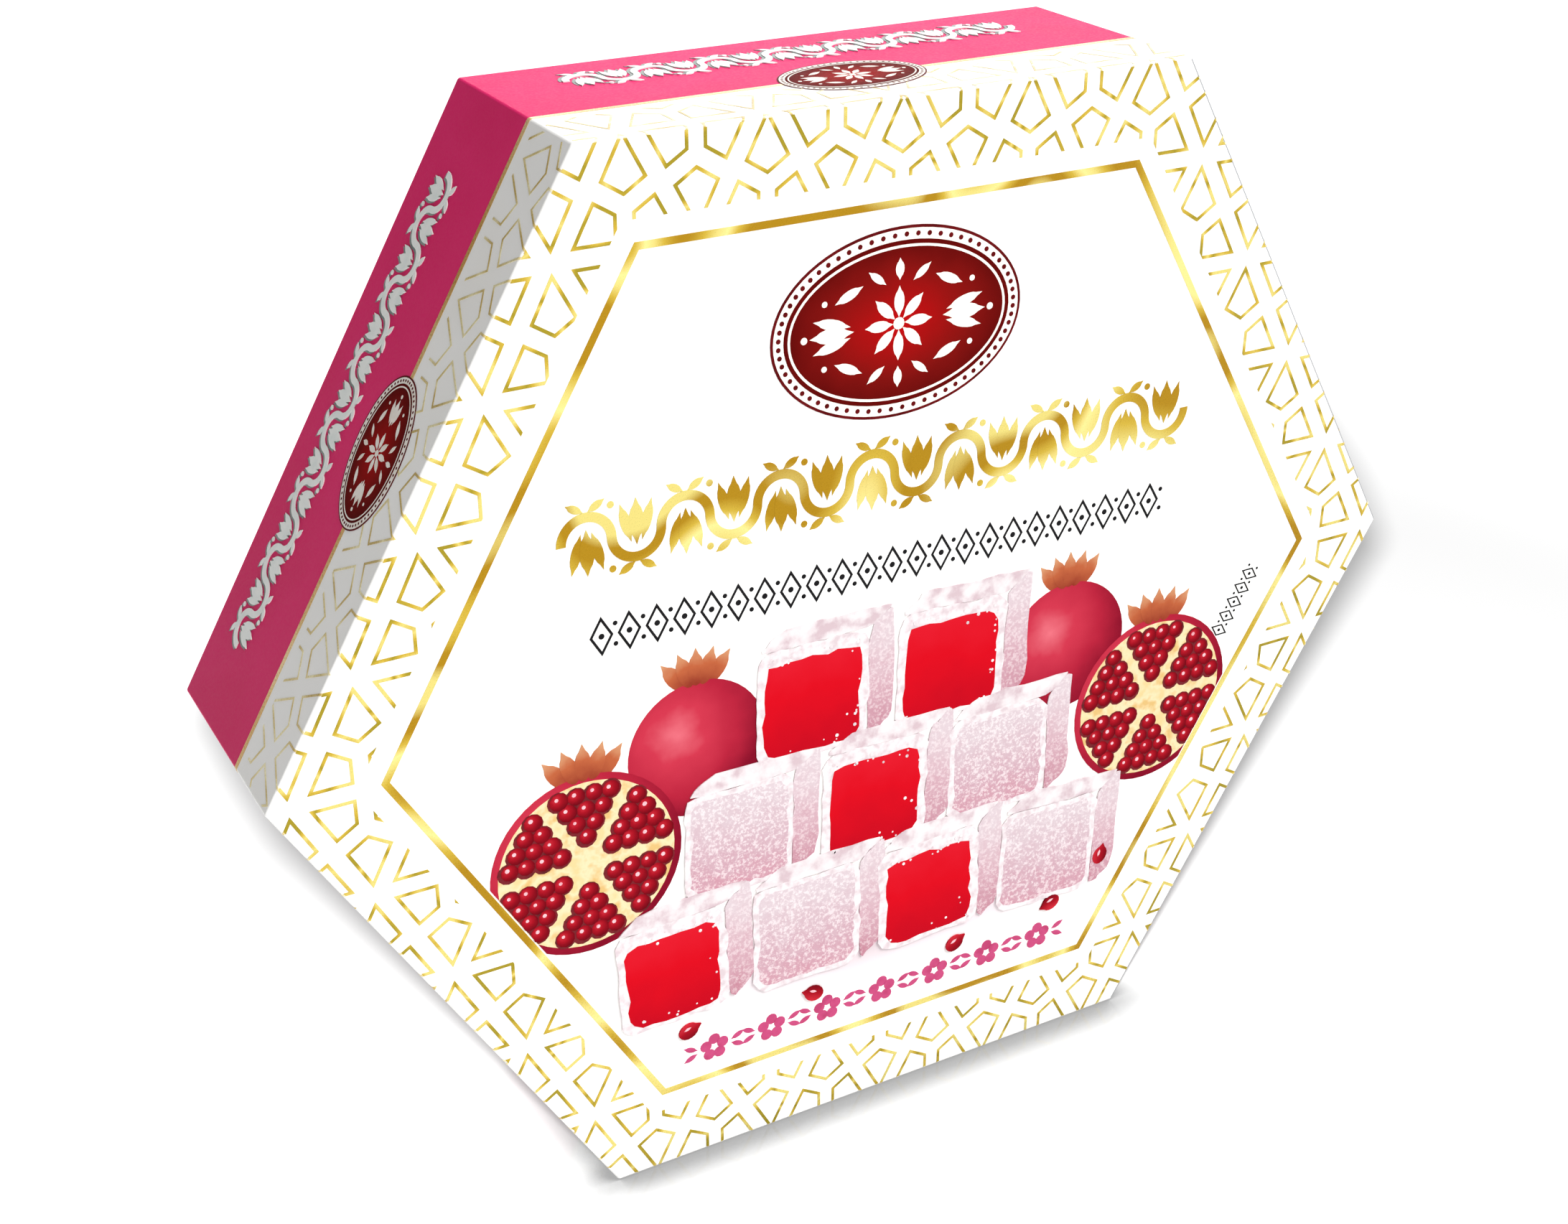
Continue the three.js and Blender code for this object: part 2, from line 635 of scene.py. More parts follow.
def rings(piece, steps, thickness):
    """Works rings into a round flat face, so that a tone can run from its rim to its middle."""
    pick_all(piece)
    bpy.ops.mesh.select_mode(type="FACE")
    for _ in range(steps):
        bpy.ops.mesh.inset(thickness=thickness, depth=0)
    bpy.ops.mesh.poke()
    done()


def held(value):
    """A tone kept between 0 and 1."""
    return max(0.0, min(1.0, value))


def note_tone(piece, tone_at):
    """Notes at each corner of flat work how far its tone has run there, from 0 to 1."""
    tone = piece.data.attributes.new("tone", "FLOAT", "POINT")
    for corner in piece.data.vertices:
        tone.data[corner.index].value = tone_at(corner.co.x / MM, corner.co.y / MM)


def toned_disc(name, corners, steps, thickness, shift=0.0, span=1.0):
    """A disc of one millimetre whose tone runs out from its middle, or from up and left of it."""
    disc = flat_disc(name, corners, MM)
    rings(disc, steps, thickness * MM)
    note_tone(disc, lambda x, y: held(math.hypot(x + shift, y - shift) / span))
    return disc


def toned(name, colours, patch, drift=0.3, start=0.1, end=0.9, detail=3.0, rough=0.5):
    """A print whose colours run with the tone noted on the work, and drift a little as well."""
    ink, nodes, links, shader = new_finish(name)
    shader.inputs["Specular IOR Level"].default_value = INK_GLOSS
    noted = nodes.new("ShaderNodeAttribute")
    noted.attribute_name = "tone"
    mixed = nodes.new("ShaderNodeMix")
    mixed.inputs["Factor"].default_value = drift
    links.new(noted.outputs["Fac"], mixed.inputs["A"])
    links.new(clouds(nodes, links, patch, detail, rough), mixed.inputs["B"])
    tones = shades(nodes, links, mixed.outputs["Result"], colours, start, end)
    links.new(tones, shader.inputs["Base Color"])
    add_tooth(nodes, links, shader, INK_ROUGHNESS)
    return ink


def layer(name, shapes, proud, finish):
    """Joins flat shapes into one printed layer that stands proud of the board by a hair."""
    sheet = join(name, shapes)
    give_thickness(sheet, proud + LAYER_SUNK, proud)
    sheet.data.materials.clear()
    sheet.data.materials.append(finish)
    return sheet


def on_side(piece, side):
    """Puts a piece drawn round the middle of a side panel's front edge onto that side panel."""
    piece.rotation_euler = (0, 0, math.pi)
    piece.location = (0, low.y, APOTHEM)
    settle(piece)
    piece.rotation_euler = (0, side * 2 * HALF_CORNER, 0)
    settle(piece)
    piece.location = (0, 0, APOTHEM)
    settle(piece)


field_reds = [(174, 9, 14), (146, 15, 15), (118, 16, 14), (86, 9, 8)]
deep_red = toned("deep_red_print", field_reds, 5 * MM, 0.2)
dark_red = printed("dark_red_print", [(86, 10, 14), (98, 15, 19), (82, 9, 12)], 4 * MM, gloss=0.02)
cream = printed("cream_print", [(240, 232, 222), (246, 240, 232), (236, 226, 214)], 3 * MM, gloss=0.05)


def oval(name, inwards=0.0):
    """An oval that lies the given number of millimetres inside the medallion's rim."""
    wide, high = MEDALLION_SIZE
    return flat_disc(name, OVAL_CORNERS, MM, stretch=(wide - inwards, high - inwards))


rim, band = oval("rim"), oval("band", 0.4)
wide, high = MEDALLION_SIZE
beads = []
for i in range(BEADS):
    bearing = 2 * math.pi * (i + 0.5) / BEADS
    bead_at = ((wide - BEADS_IN) * math.cos(bearing), (high - BEADS_IN) * math.sin(bearing))
    beads.append(dot(BEAD_RADIUS, at=bead_at, corners=8))
field = toned_disc("field", OVAL_CORNERS, 4, 0.22)
field.scale = (wide - FIELD_IN, high - FIELD_IN, 1)
settle(field)
pale_ring = oval("pale_ring", PALE_RING_IN)
outline_only(pale_ring, 0.36 * MM)

# The flower in the middle, then a tulip, its leaves and dots to each side of it.
petal = leaf(4.3, 1.55, at=(3.0, 0))
flower = [copy_of(petal, turn=i * math.pi / 4) for i in range(8)]
flower.append(dot(0.85, lift=1))
bpy.data.objects.remove(petal)
tulip_mould = tulip()
for side in (1, -1):
    flower.append(copy_of(tulip_mould, at=(side * 8.6 * MM, 0), turn=side * math.pi / 2))
    flower.append(dot(0.5, at=(side * 14.2, 0)))
    for up in (1, -1):
        flower.append(leaf(4.6, 1.35, at=(side * 7.6, up * 5.0), turn=-side * up * 24, lift=3))
        flower.append(leaf(3.4, 1.05, at=(side * 3.4, up * 6.6), turn=side * up * 38, lift=3))
        flower.append(dot(0.42, at=(side * 11.2, up * 4.4)))
for up in (1, -1):
    flower.append(leaf(3.0, 1.3, at=(0, up * 7.4), turn=90))

medallion = join("front_medallion", [
    layer("medallion_rim", [rim], 0.06 * MM, dark_red),
    layer("medallion_band", [band], 0.07 * MM, cream),
    layer("medallion_beads", beads, 0.08 * MM, dark_red),
    layer("medallion_field", [field], 0.09 * MM, deep_red),
    layer("medallion_flower", [pale_ring] + flower, 0.10 * MM, cream),
])
side_medallions = []
for side in range(SIDES):
    small = copy_of(medallion)
    small.scale = (SIDE_MEDALLION_SCALE, SIDE_MEDALLION_SCALE, 1)
    small.location = (*SIDE_MEDALLION_PLACE, 0)
    settle(small)
    on_side(small, side)
    side_medallions.append(small)
side_medallions = join("side_medallions", side_medallions)
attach(side_medallions, "root")
back_medallion = copy_of(medallion)
back_medallion.name = "back_medallion"
on_back(back_medallion)
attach(back_medallion, "root")
put(medallion, at=MEDALLION_PLACE)
stand_up(medallion)
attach(medallion, "root")


# ---- Vine borders ----------------------------------------------------------------------
# A running vine with tulips in its bends: large and in gold foil across the front panel, and
# smaller, raised in white with a silver shadow, on the pink of the side and back panels.

VINE_BENDS = 14
BEND_RADIUS = 3.5
STEM = 1.35
VINE_PLACE = (0.0, 27.0 * MM)
SIDE_VINE_SCALE = 0.69
SIDE_VINE_PLACE = (0.0, -26.9 * MM)
BACK_VINE_SCALE = 0.85
BACK_VINE_HEIGHTS = (33.0 * MM, -33.0 * MM)
VINE_RAISED = 0.14 * MM
SHADOW_SHIFT = (0.35 * MM, -0.4 * MM)

bend = flat_disc("bend", 48, (BEND_RADIUS + STEM / 2) * MM, lift=3)
outline_only(bend, STEM * MM)
cut_away(bend, (0, 0), (0, -1))
spray = [bend, copy_of(tulip_mould)]
for side in (1, -1):
    spray.append(leaf(2.8, 1.1, at=(side * 1.5, 4.85), turn=side * 30, lift=(side + 1) / 2))
spray.append(dot(0.5, at=(BEND_RADIUS, 4.5)))
bend = join("bend", spray)
bpy.data.objects.remove(tulip_mould)
bends = []
for i in range(VINE_BENDS):
    across = (i - (VINE_BENDS - 1) / 2) * 2 * BEND_RADIUS * MM
    bends.append(copy_of(bend, at=(across, 0), turn=(i % 2) * math.pi))
bpy.data.objects.remove(bend)
vine = join("gold_vine", bends)

silver = printed("silver_shadow", [(128, 140, 136), (150, 158, 154), (118, 128, 126)], 3 * MM)
raised_white = printed("raised_white", [(240, 244, 240), (248, 250, 246), (236, 242, 238)], 4 * MM)


def raised_vine(at, size):
    """A white vine that stands proud of its silver shadow, on the sheet."""
    shade_at = (at[0] + SHADOW_SHIFT[0], at[1] + SHADOW_SHIFT[1])
    shade = layer("shade", [put(copy_of(vine), at=shade_at, size=size)], 0.05 * MM, silver)
    white_vine = layer("white_vine", [put(copy_of(vine), at=at, size=size)], VINE_RAISED, raised_white)
    return join("raised_vine", [white_vine, shade])


side_vines = []
for side in range(SIDES):
    side_vines.append(raised_vine(SIDE_VINE_PLACE, SIDE_VINE_SCALE))
    on_side(side_vines[-1], side)
side_vines = join("side_vines", side_vines)
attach(side_vines, "root")
back_vines = join("back_vines", [raised_vine((0, up), BACK_VINE_SCALE) for up in BACK_VINE_HEIGHTS])
on_back(back_vines)
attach(back_vines, "root")

vine_gold = gold_foil("vine_gold", 20 * MM, bars)
vine = layer("gold_vine", [put(vine, at=VINE_PLACE)], FOIL_PROUD, vine_gold)
stand_up(vine)
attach(vine, "root")


# ---- Fine chain ------------------------------------------------------------------------
# A narrow chain of lozenges and dots in near-black ink under the vine, and a short run of
# the same, turned along the frame, near the front panel's right corner.

CHAIN_LINKS = 23
LINK_PITCH = 4.0
CHAIN_PLACE = (0.0, 13.2 * MM)
SHORT_CHAIN_LINKS = 5
SHORT_CHAIN_PLACE = (62.5 * MM, -8.0 * MM)
SHORT_CHAIN_TURN = math.radians(60)
SHORT_CHAIN_SCALE = 0.62

link = drawn("link", [(0, 2.9), (-1.7, 0), (0, -2.9), (1.7, 0)])
outline_only(link, 0.36 * MM)
between = [dot(0.34, at=(LINK_PITCH / 2, y)) for y in (1.5, -1.5)]
link = join("link", [link, dot(0.42), *between])


def run_of_links(count):
    """A straight chain of links on the sheet."""
    places = [(i - (count - 1) / 2) * LINK_PITCH * MM for i in range(count)]
    return join("chain", [copy_of(link, at=(x, 0)) for x in places])


chain = put(run_of_links(CHAIN_LINKS), at=CHAIN_PLACE)
short_chain = run_of_links(SHORT_CHAIN_LINKS)
put(short_chain, at=SHORT_CHAIN_PLACE, turn=SHORT_CHAIN_TURN, size=SHORT_CHAIN_SCALE)
bpy.data.objects.remove(link)
ink_black = printed("black_print", [(18, 17, 20), (26, 25, 28), (14, 13, 16)], 3 * MM, gloss=0.05)
fine_chain = layer("fine_chain", [chain, short_chain], 0.03 * MM, ink_black)
stand_up(fine_chain)
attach(fine_chain, "root")


# ---- Picture ---------------------------------------------------------------------------
# The printed picture in the lower half of the frame: a stepped pile of sugared jelly cubes
# between round fruits, whole and halved. It is built of flat shapes, each laid over the one
# before, and its sizes and places are in millimetres from the middle of the front panel.

PICTURE_START = 0.016 * MM
PICTURE_STEP = 0.008 * MM
PICTURE_EDGE = 63.7 * MM
GROUND_PLACE = (0, -48 * MM, 0)
GROUND_SIZE = (52, 11)
WHOLE_FRUIT = (30.5, -7.5, 10.5)
HALVED_FRUIT = (47.5, -21.0, 14.2)
PEEL = 1.1
SEPALS_DRAWN = (-2, 2, -1, 1, 0)
SEPAL_LEAN = 19
SEPAL_SPREAD = 5
SEPAL_ROOT = 0.94
SEED_PITCH = 2.55
SEED_ROWS = range(-6, 7)
BED_RADIUS = 1.62
CORE_RADIUS = 2.4
RIM_KEPT_BARE = 2.5
PITH_HALF_WIDTH = 0.95
CUBE_SIZE = 17.6
CUBE_BACK = (4.2, 3.1)
CUBE_ROWS = (
    # left edge of each cube, lower edge, which cubes are cut open
    ((-21.5, 1.0), -13.4, (True, True)),
    ((-33.0, -11.0, 10.8), -32.4, (False, True, False)),
    ((-43.5, -22.2, -0.8, 20.4), -52.2, (True, False, True, False)),
)
CORNERS_DRAWN_IN = 0.93
RED_MARGIN = 1.3
RED_FOOT = 0.8
RED_HEAD = 0.9
CRUMBS = 26
DUSTED_MARGIN = 0.9
LOOSE_SEEDS = ((-33, -54.8, 20), (-12, -55.6, 160), (13, -55.2, 30), (31, -53.6, 200), (40, -47.5, 75))
GRAINS_SHOW = (0.47, 0.62)
GRAIN_WHITE = (244, 240, 239)
draw = random.Random(29)


def rim_corners(piece):
    """The corners that lie on the outline of flat work."""
    faces_at = {}
    for face in piece.data.polygons:
        for edge in face.edge_keys:
            faces_at[edge] = faces_at.get(edge, 0) + 1
    return {corner for edge, count in faces_at.items() if count == 1 for corner in edge}


def loose_face(across, up, ragged, cuts=5):
    """A four-sided face given by its lower and its left edge, with an outline as loose as sugar."""
    bpy.ops.object.select_all(action="DESELECT")
    bpy.ops.mesh.primitive_plane_add(size=MM, location=(MM / 2, MM / 2, 0))
    face = bpy.context.object
    settle(face)
    moves = (((1, 3), (across[0] - 1, across[1])), ((2, 3), (up[0], up[1] - 1)))
    for corners, by in moves:
        pick(face, "VERT", lambda corner: corner.index in corners)
        bpy.ops.transform.translate(value=(by[0] * MM, by[1] * MM, 0))
        done()
    middle = ((across[0] + up[0]) * MM / 2, (across[1] + up[1]) * MM / 2, 0)
    pick_all(face)
    bpy.ops.mesh.subdivide(number_cuts=cuts)
    done()
    pick(face, "VERT", lambda corner: corner.index < 4)
    drawn_in = (CORNERS_DRAWN_IN, CORNERS_DRAWN_IN, 1)
    bpy.ops.transform.resize(value=drawn_in, center_override=middle)
    done()
    rim = rim_corners(face)
    pick(face, "VERT", lambda corner: corner.index in rim)
    seed = draw.randrange(1000)
    bpy.ops.transform.vertex_random(offset=ragged * MM, seed=seed, wait_for_input=False)
    bpy.ops.mesh.select_all(action="SELECT")
    bpy.ops.transform.resize(value=(1, 1, 0), center_override=(0, 0, 0))
    done()
    return face


def clipped(piece):
    """Trims flat work to the inside of the gold frame's three lower sides."""
    for degrees in (-30, -90, -150):
        out = (math.cos(math.radians(degrees)), math.sin(math.radians(degrees)))
        cut_away(piece, (PICTURE_EDGE * out[0], PICTURE_EDGE * out[1]), out)
    return piece


def sprinkle(ink, grain, most):
    """Sprinkles fine white sugar over a print, in grains of about the given size."""
    nodes, links = ink.node_tree.nodes, ink.node_tree.links
    grains = clouds(nodes, links, grain, detail=2.0, rough=0.7)
    cover = from_to(nodes, links, grains, GRAINS_SHOW, (0, most))
    lay_over(ink, cover.outputs["Result"], GRAIN_WHITE)


sugar_top = printed("sugar_top", [(198, 176, 182), (218, 208, 210), (228, 222, 222)], 2.5 * MM, detail=8)
sugar_rim = printed("sugar_rim", [(206, 190, 194), (222, 212, 214), (232, 227, 227)], 1.4 * MM, detail=8)
sugar_front = toned(
    "sugar_front", [(190, 128, 144), (192, 156, 167), (202, 184, 190), (212, 200, 204)],
    3 * MM, 0.4, 0.15, 0.85, detail=8, rough=0.75,
)
sugar_side = toned(
    "sugar_side", [(206, 190, 195), (196, 160, 170), (180, 124, 139)],
    2.5 * MM, 0.4, 0.2, 0.8, detail=8, rough=0.7,
)
sprinkle(sugar_front, 0.5 * MM, 0.45)
sprinkle(sugar_side, 0.5 * MM, 0.3)
jelly = toned("jelly_red", [(176, 10, 28), (200, 12, 28), (206, 30, 46)], 5 * MM, 0.3)
rind = toned("fruit_rind", [(218, 112, 124), (188, 50, 70), (166, 32, 54), (120, 14, 36)], 5 * MM, 0.25)
pith = printed("fruit_pith", [(222, 196, 140), (228, 210, 168), (212, 176, 110)], 3 * MM)
seed_bed = printed("fruit_seed_bed", [(96, 10, 20), (112, 14, 26), (84, 8, 16)], 1.5 * MM)
aril = toned("fruit_aril", [(196, 44, 58), (154, 18, 32), (98, 8, 20)], 1.5 * MM, 0.25)
glint = printed("pale_glint", [(226, 168, 176), (234, 190, 196), (218, 150, 160)], 1 * MM)
crown = toned("fruit_crown", [(132, 46, 34), (176, 92, 58), (206, 158, 118)], 2 * MM, 0.3)
ground = toned("picture_ground", [(192, 172, 178), (226, 216, 219), (251, 250, 247)], 8 * MM, 0.1)

picture = []
level = 0


def lay(shapes, finish, levels=1):
    """Lays the next layer of the picture over the ones before it, and leaves room for its lifts."""
    global level
    sheet = clipped(join("picture_layer", shapes))
    picture.append(layer("picture_layer", [sheet], PICTURE_START + level * PICTURE_STEP, finish))
    level += levels


floor_shade = toned_disc("floor_shade", 48, 3, 0.25)
floor_shade.scale = (*GROUND_SIZE, 1)
floor_shade.location = GROUND_PLACE
settle(floor_shade)
lay([floor_shade], ground)


def fruit_body(x, y, radius):
    """A round fruit that is lightest towards its upper left."""
    body = toned_disc("body", 48, 7, 0.125, 0.3, 1.3)
    return put(body, at=(x * MM, y * MM), size=radius)


def fruit_crown(x, y, radius):
    """The five sepals that stand on a fruit, the outer ones drawn first."""
    sepals = []
    for lift, i in enumerate(SEPALS_DRAWN):
        sepal = leaf(6.6, 2.4, at=(2.4, 0), tips=(1,), lift=lift)
        note_tone(sepal, lambda x, y: held(x / 6))
        bearing = math.radians(90 + i * SEPAL_SPREAD)
        root_x = x + radius * SEPAL_ROOT * math.cos(bearing)
        root_y = y + radius * SEPAL_ROOT * math.sin(bearing)
        lean = math.radians(90 + i * SEPAL_LEAN)
        sepals.append(put(sepal, at=(root_x * MM, root_y * MM), turn=lean))
    return sepals


def seed_places(radius):
    """Where seeds lie in a halved fruit: close rows in six wedges, and how far each is lifted."""
    for row in SEED_ROWS:
        for column in SEED_ROWS:
            dx = (column + (row % 2) / 2) * SEED_PITCH
            dy = row * SEED_PITCH * 0.866
            reach = math.hypot(dx, dy)
            bearing = math.degrees(math.atan2(dy, dx)) % 60
            from_pith = reach * math.sin(math.radians(min(bearing, 60 - bearing)))
            if CORE_RADIUS <= reach <= radius - RIM_KEPT_BARE and from_pith >= PITH_HALF_WIDTH:
                yield dx, dy, column % 2 + 2 * (row % 2)


def seed(x, y, lift):
    """One seed of a halved fruit and the glint on it."""
    size = 1.24 + 0.16 * draw.random()
    grain = toned_disc("aril", 10, 1, 0.45, 0.3, 1.2)
    x += 0.2 * draw.random()
    y += 0.2 * draw.random()
    shine = dot(0.24 + 0.12 * draw.random(), at=(x - 0.35, y + 0.4), corners=7)
    return put(grain, at=(x * MM, y * MM), size=size, lift=lift), shine


# Whole fruits behind, halved fruits in front of them, one pair to each side.
for across, up, radius in (WHOLE_FRUIT, HALVED_FRUIT):
    fruits = [(side * across, up, radius) for side in (1, -1)]
    lay([sepal for fruit in fruits for sepal in fruit_crown(*fruit)], crown)
    lay([fruit_body(*fruit) for fruit in fruits], rind)
piths, beds, arils, glints = [], [], [], []
for x, y, radius in fruits:
    piths.append(flat_disc("pith", 48, (radius - PEEL) * MM, at=(x * MM, y * MM)))
    for dx, dy, above in seed_places(radius):
        beds.append(dot(BED_RADIUS, at=(x + dx, y + dy), lift=above))
        grain, shine = seed(x + dx, y + dy, above)
        arils.append(grain)
        glints.append(shine)
lay(piths, pith)
lay(beds, seed_bed, levels=3)
lay(arils, aril, levels=3)
lay(glints, glint)


def red_cut(size):
    """The red face of a cube that is cut open."""
    high = size - RED_MARGIN - RED_FOOT - RED_HEAD
    cut = loose_face((size - 2 * RED_MARGIN, 0), (0, high), 0.5, cuts=7)
    note_tone(cut, lambda x, y: held(y / size))
    return put(cut, at=(RED_MARGIN * MM, RED_FOOT * MM))


def crumb(size, lift):
    """A crumb of sugar near one edge of a red face."""
    along = draw.random()
    inward = abs(draw.gauss(0, 0.9))
    edge = draw.randrange(4)
    x = RED_MARGIN + along * (size - 2 * RED_MARGIN)
    y = size - RED_MARGIN - inward if edge < 2 else RED_FOOT + inward
    if edge == 3:
        x, y = size - RED_MARGIN - inward, RED_FOOT + along * (size - 3)
    return dot(0.12 + 0.2 * draw.random(), at=(x, y), corners=6, lift=lift)


def dusted_front(size):
    """The sugared front of a whole cube, darker towards its foot."""
    inner = size - 2 * DUSTED_MARGIN
    front = loose_face((inner, 0), (0, inner), 0.45, cuts=11)
    note_tone(front, lambda x, y: held(0.1 + 0.8 * y / size))
    return put(front, at=(DUSTED_MARGIN * MM, DUSTED_MARGIN * MM))


# The pile, back row first. Each cube has a top, a right side, a rim and a red or dusted front.
for lefts, bottom, opened in CUBE_ROWS:
    tops, sides, rims, fronts, cuts, crumbs = [], [], [], [], [], []
    for place, (left, is_open) in enumerate(zip(lefts, opened)):
        size = CUBE_SIZE * (0.97 + 0.06 * draw.random())
        lean = math.radians(draw.uniform(-3.5, 3.5))
        top = put(loose_face((size, 0), CUBE_BACK, 0.35), at=(0, size * MM))
        side = loose_face(CUBE_BACK, (0, size), 0.35)
        note_tone(side, lambda x, y: held((size - y) / size))
        put(side, at=(size * MM, 0))
        group = [(tops, top), (sides, side), (rims, loose_face((size, 0), (0, size), 0.4, cuts=9))]
        if is_open:
            group.append((cuts, red_cut(size)))
            group += [(crumbs, crumb(size, i % 6)) for i in range(CRUMBS)]
        else:
            group.append((fronts, dusted_front(size)))
        for pile, piece in group:
            pile.append(put(piece, at=(left * MM, bottom * MM), turn=lean, lift=place % 2))
    for pile, finish in (
        (tops, sugar_top), (sides, sugar_side), (rims, sugar_rim),
        (fronts, sugar_front), (cuts, jelly), (crumbs, sugar_top),
    ):
        if pile:
            lay(pile, finish)

# Loose seeds on the ground.
seeds, seed_glints = [], []
for x, y, turn in LOOSE_SEEDS:
    loose_seed = leaf(4.4, 2.7, tips=(1,))
    note_tone(loose_seed, lambda x, y: held(0.5 - y / 3))
    seeds.append(put(loose_seed, at=(x * MM, y * MM), turn=math.radians(turn)))
    seed_glints.append(leaf(1.3, 0.45, at=(x - 0.2, y + 0.45), turn=turn))
lay(seeds, aril)
lay(seed_glints, glint)

picture = join("picture", picture)
stand_up(picture)
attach(picture, "root")


# ---- Flower row ------------------------------------------------------------------------
# A row of small pink flowers and leaves printed along the frame's lower side.

FLOWER_ROW_PLACE = (0.0, -59.3 * MM)
FLOWERS = 7
FLOWER_PITCH = 9.6
PETALS_OUT = 1.45

petals = []
for i in range(5):
    bearing = math.radians(90 + 72 * i)
    petal_at = (PETALS_OUT * math.cos(bearing), PETALS_OUT * math.sin(bearing))
    petals.append(dot(0.95, at=petal_at, lift=i))
for side in (1, -1):
    for up in (1, -1):
        petals.append(leaf(2.5, 0.9, at=(side * 3.9, up * 0.8), turn=side * up * 24, lift=(side + 1) / 2))
blossom = join("blossom", petals)
row = [copy_of(blossom, at=((i - (FLOWERS - 1) / 2) * FLOWER_PITCH * MM, 0)) for i in range(FLOWERS)]
bpy.data.objects.remove(blossom)
rose = printed("rose_print", [(178, 58, 104), (186, 66, 114), (172, 52, 98)], 3 * MM)
flower_row = layer("flower_row", [put(join("row", row), at=FLOWER_ROW_PLACE)], 0.03 * MM, rose)
stand_up(flower_row)
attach(flower_row, "root")


# ---- Studio ----------------------------------------------------------------------------
# A glossy white table that glows by itself before a white backdrop. Its glow is least round the
# carton, and its colour darkens close to the carton's foot: both are painted shade.
# A broad soft light from the front right and a weak one from behind fall on the carton alone.
# A small light near the camera falls on the table alone and shades it under the carton's edges.

TABLE_DROP = 0.2 * MM
SHADE_REACH = 11 * MM
SHADE_RUN = (0.5, 0.97)
PAST_THE_FRONT = (-20 * MM, -12 * MM)
EASED_BEHIND = 0.3
TABLE_WHITE = 0.1
TABLE_ROUGHNESS = 0.08
TABLE_GLOSS = 0.3
NEAR_GLOW = 0.40
FAR_GLOW = 1.08
GLOW_GROWS_AROUND = (0.23, 0.40)
GLOW_GROWS_BEHIND = (0.11, 0.24)
BACKDROP_RADIUS = 3.9
ROOM_LIGHT = 0.26
ROOM_SLOPE = 0.6
KEY_FROM = (0.50, -0.40, 0.77)
KEY_POWER = 4.2
GLANCE_FROM = (0.50, 0.83, 0.25)
GLANCE_POWER = 0.5
LIGHT_SPREAD = math.radians(30)
CAMERA_PLACE = (-142.1 * MM, -245.3 * MM, 222.4 * MM)
CAMERA_FORWARD = (0.428, 0.778, -0.460)
CAMERA_LENS = 49.57
CAMERA_SENSOR = 36
LOW_LIGHT_SHIFT = (-0.6 * MM, 6.2 * MM, 9.5 * MM)
LOW_LIGHT_RADIUS = 9.5 * MM
LOW_LIGHT_POWER = 520

bpy.ops.object.select_all(action="DESELECT")
bpy.ops.mesh.primitive_plane_add(size=8, location=(0, 0, -TABLE_DROP))
table = bpy.context.object
table.name = "table"
acrylic, nodes, links, surface = new_finish("white_acrylic")
surface.inputs["Roughness"].default_value = TABLE_ROUGHNESS
surface.inputs["Specular IOR Level"].default_value = TABLE_GLOSS
surface.inputs["Emission Color"].default_value = (1, 1, 1, 1)


def eased(value, from_range, to_range):
    """Runs a value of the table's material from one range to another, and eases both ends."""
    run = from_to(nodes, links, value, from_range, to_range)
    run.interpolation_type = "SMOOTHSTEP"
    return run.outputs["Result"]


place = nodes.new("ShaderNodeTexCoord")
away = nodes.new("ShaderNodeVectorMath")
away.operation = "LENGTH"
links.new(place.outputs["Object"], away.inputs[0])
behind = nodes.new("ShaderNodeSeparateXYZ")
links.new(place.outputs["Object"], behind.inputs["Vector"])
# Painted contact shade: the table's colour darkens where the carton is close.
closeness = nodes.new("ShaderNodeAmbientOcclusion")
closeness.samples = 16
closeness.inputs["Distance"].default_value = SHADE_REACH
openness = nodes.new("ShaderNodeMath")
openness.operation = "ADD"
links.new(closeness.outputs["AO"], openness.inputs[0])
links.new(eased(behind.outputs["Y"], PAST_THE_FRONT, (0, EASED_BEHIND)), openness.inputs[1])
whiteness = eased(openness.outputs["Value"], SHADE_RUN, (0, TABLE_WHITE))
links.new(whiteness, surface.inputs["Base Color"])
# Painted shade: the table's glow is least round the carton and grows farther off.
glow = nodes.new("ShaderNodeMath")
glow.operation = "MAXIMUM"
glow_range = (NEAR_GLOW, FAR_GLOW)
links.new(eased(away.outputs["Value"], GLOW_GROWS_AROUND, glow_range), glow.inputs[0])
links.new(eased(behind.outputs["Y"], GLOW_GROWS_BEHIND, glow_range), glow.inputs[1])
links.new(glow.outputs["Value"], surface.inputs["Emission Strength"])
acrylic.cycles.emission_sampling = "NONE"
table.data.materials.append(acrylic)

bpy.ops.mesh.primitive_cylinder_add(vertices=96, radius=BACKDROP_RADIUS, depth=2 * BACKDROP_RADIUS)
backdrop = bpy.context.object
backdrop.name = "backdrop"
paper, _, _, sheet = new_finish("white_paper")
sheet.inputs["Base Color"].default_value = (0, 0, 0, 1)
sheet.inputs["Emission Color"].default_value = (1, 1, 1, 1)
sheet.inputs["Emission Strength"].default_value = FAR_GLOW
paper.cycles.emission_sampling = "NONE"
backdrop.data.materials.append(paper)
backdrop.visible_diffuse = False
backdrop.visible_glossy = False
backdrop.visible_shadow = False

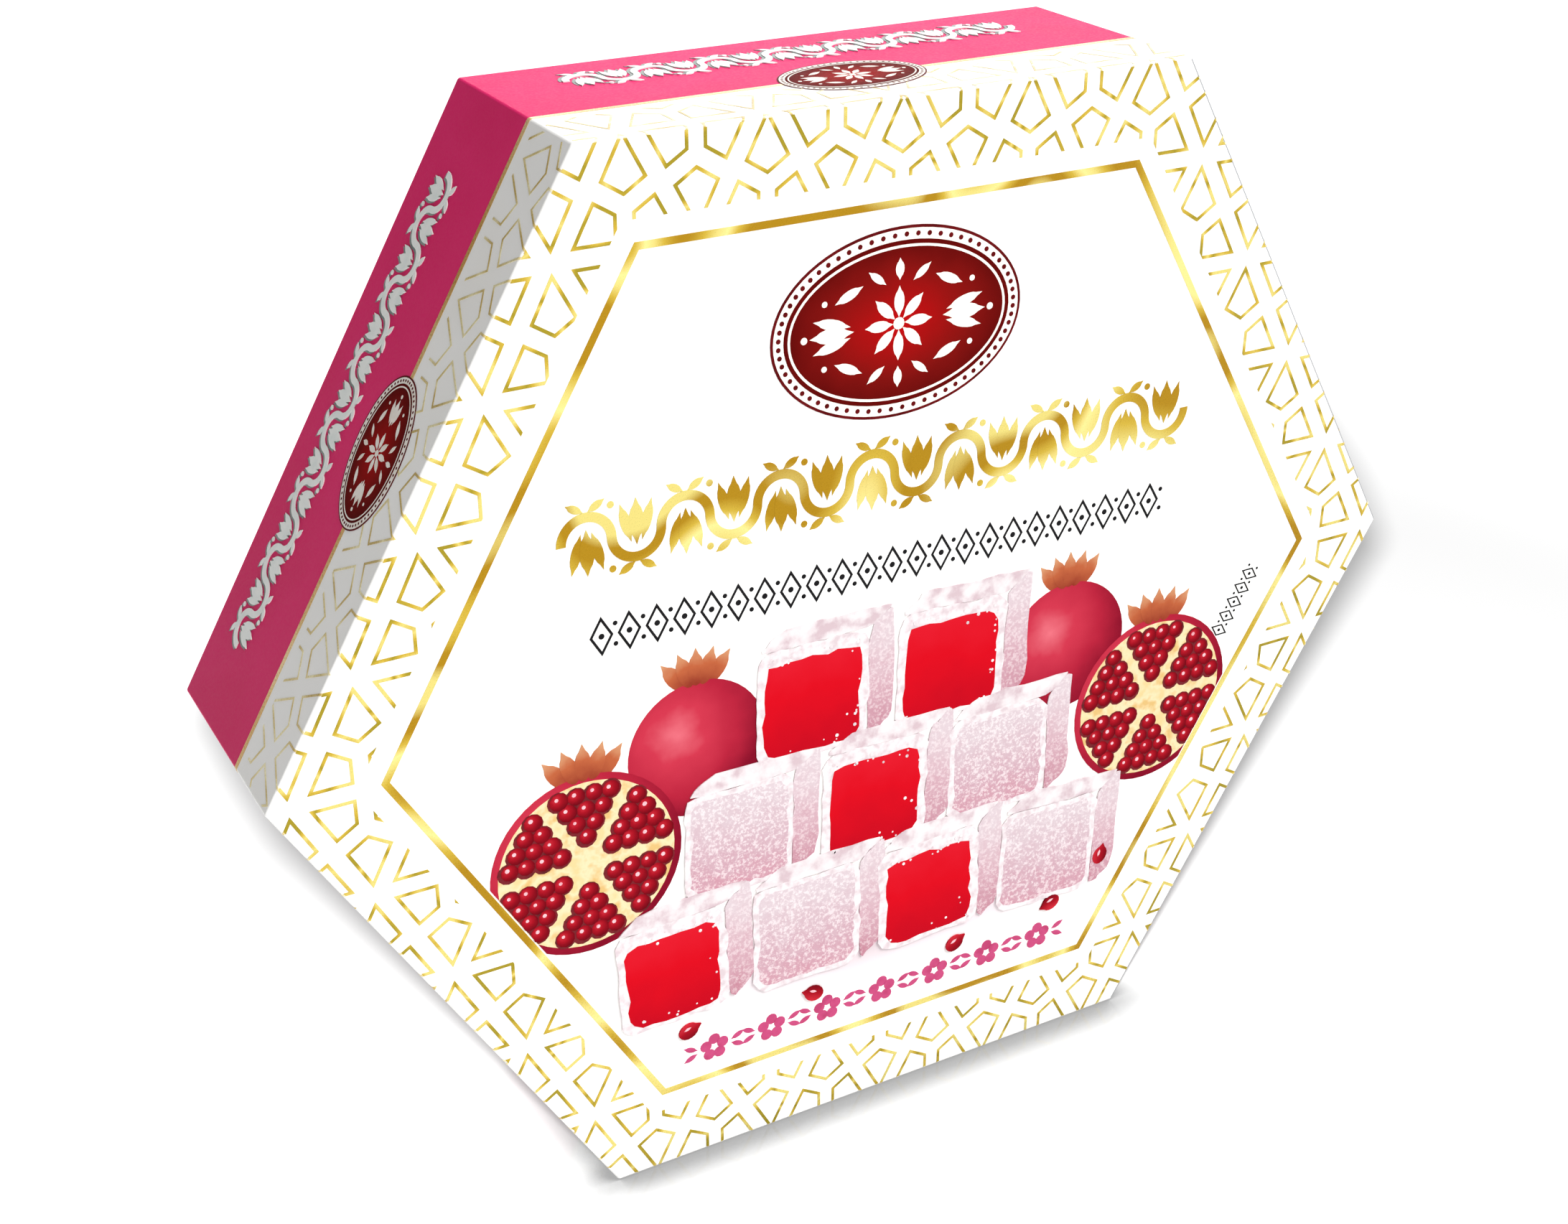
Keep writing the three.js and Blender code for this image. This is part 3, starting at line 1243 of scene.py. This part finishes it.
world = bpy.data.worlds.new("studio")
world.use_nodes = True
nodes, links = world.node_tree.nodes, world.node_tree.links
direction = nodes.new("ShaderNodeTexCoord")
parts = nodes.new("ShaderNodeSeparateXYZ")
links.new(direction.outputs["Generated"], parts.inputs["Vector"])
room_range = (ROOM_LIGHT * (1 - ROOM_SLOPE), ROOM_LIGHT * (1 + ROOM_SLOPE))
slope = from_to(nodes, links, parts.outputs["X"], (-1, 1), room_range)
links.new(slope.outputs["Result"], nodes["Background"].inputs["Strength"])
nodes["Background"].inputs["Color"].default_value = (1, 1, 1, 1)
bpy.context.scene.world = world

kept_off = bpy.data.collections.new("kept_off")
kept_off.objects.link(table)


def soft_light(name, place, power):
    """A broad light from far off in the direction of place, which doesn't fall on the table."""
    bpy.ops.object.light_add(type="SUN", location=place)
    light = bpy.context.object
    light.name = name
    light.data.energy = power
    light.data.angle = LIGHT_SPREAD
    tilt = math.atan2(math.hypot(place[0], place[1]), place[2])
    light.rotation_euler = (tilt, 0, math.atan2(place[0], -place[1]))
    light.light_linking.receiver_collection = kept_off


soft_light("key_light", KEY_FROM, KEY_POWER)
soft_light("glance_light", GLANCE_FROM, GLANCE_POWER)
kept_off.collection_objects[0].light_linking.link_state = "EXCLUDE"

table_only = bpy.data.collections.new("table_only")
table_only.objects.link(table)
low_place = [CAMERA_PLACE[i] + LOW_LIGHT_SHIFT[i] for i in range(3)]
bpy.ops.object.light_add(type="POINT", location=low_place)
low_light = bpy.context.object
low_light.name = "table_light"
low_light.data.energy = LOW_LIGHT_POWER
low_light.data.shadow_soft_size = LOW_LIGHT_RADIUS
low_light.data.use_nodes = True
bulb = low_light.data.node_tree
falloff = bulb.nodes.new("ShaderNodeLightFalloff")
falloff.inputs["Strength"].default_value = 1
bulb.links.new(falloff.outputs["Constant"], bulb.nodes["Emission"].inputs["Strength"])
low_light.visible_camera = False
low_light.light_linking.receiver_collection = table_only

bpy.ops.object.camera_add(location=CAMERA_PLACE)
camera = bpy.context.object
forward_x, forward_y, forward_z = CAMERA_FORWARD
tilt = math.atan2(math.hypot(forward_x, forward_y), -forward_z)
camera.rotation_euler = (tilt, 0, math.atan2(-forward_x, forward_y))
camera.data.lens = CAMERA_LENS
camera.data.sensor_width = CAMERA_SENSOR
camera.data.clip_start = 0.01
bpy.context.scene.camera = camera
bpy.context.scene.view_settings.view_transform = "Standard"
